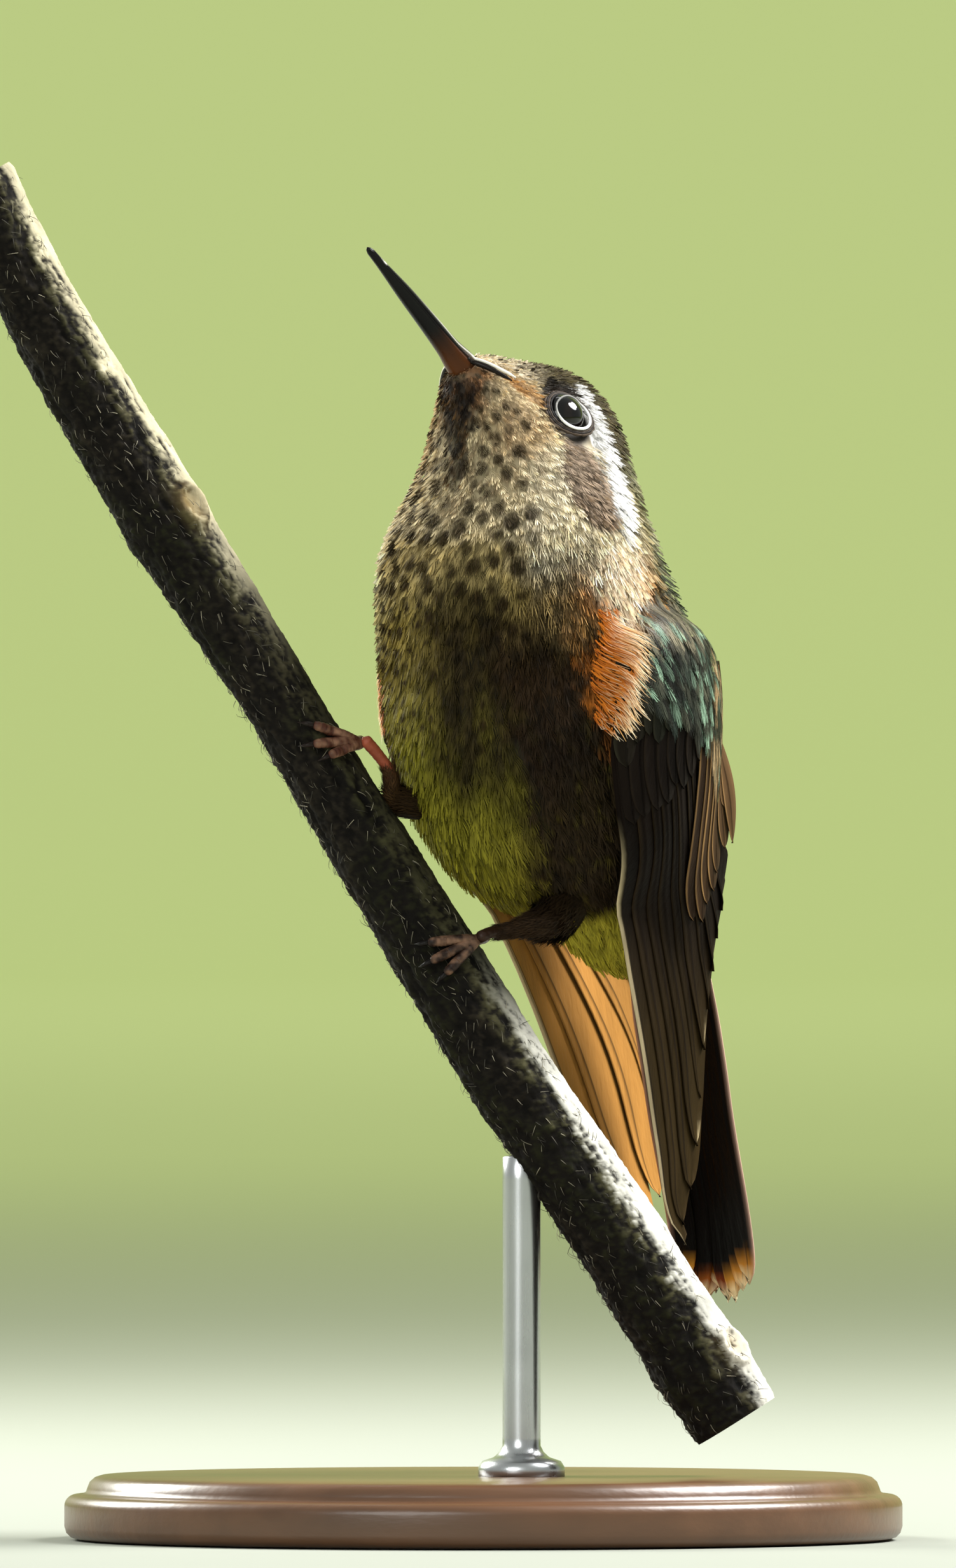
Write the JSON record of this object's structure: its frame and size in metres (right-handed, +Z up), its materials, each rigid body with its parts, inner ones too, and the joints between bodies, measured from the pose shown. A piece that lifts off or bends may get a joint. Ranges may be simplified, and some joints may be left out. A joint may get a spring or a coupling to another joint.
{
  "type": "hummingbird model on a perch",
  "caption": "Life-size still model of a small speckled hummingbird, gripping a steep cut twig held above a round base by a short rod, bill raised.",
  "frame": {"origin": "centre of the round base's underside", "axes": "+Z up; the bird faces between -X and -Y and its twig slopes down towards +X"},
  "size_m": [0.0755, 0.066, 0.1084],
  "materials": {
    "plumage_head": "matt, finely barred feathers",
    "plumage_neck": "matt buff feathers with olive-brown spots",
    "plumage_body": "matt feathers, spotted buff breast, olive belly, bronze-green back",
    "flight_feathers": "satin blackish-brown vanes",
    "flight_feathers_lit": "satin cinnamon-brown undersides of the vanes",
    "tail_feathers": "satin bronze-black vanes with buff ends",
    "eye": "wet gloss, near black brown",
    "bill_horn": "smooth semi-gloss black horn",
    "bill_horn_lower": "smooth semi-gloss horn, orange-brown at the root",
    "leg_feathers": "matt short down and scaly skin",
    "foot_skin": "scaly dark brown-pink skin with horn claws",
    "bark": "rough grey-brown bark with short pale bristles",
    "stand_wood": "dark satin wood",
    "stand_steel": "satin steel"
  },
  "bodies": {
    "root": {"head": "plumage_head", "neck": "plumage_neck", "trunk": "plumage_body", "eye_left": "eye", "eye_right": "eye", "bill_upper": "bill_horn", "bill_lower": "bill_horn_lower", "wing_left": "flight_feathers", "wing_right": "flight_feathers_lit", "tail": "tail_feathers", "leg_left": "leg_feathers", "leg_right": "leg_feathers", "foot_left": "foot_skin", "foot_right": "foot_skin", "perch": "bark", "stand_base": "stand_wood", "stand_rod": "stand_steel"}
  },
  "joints": []
}
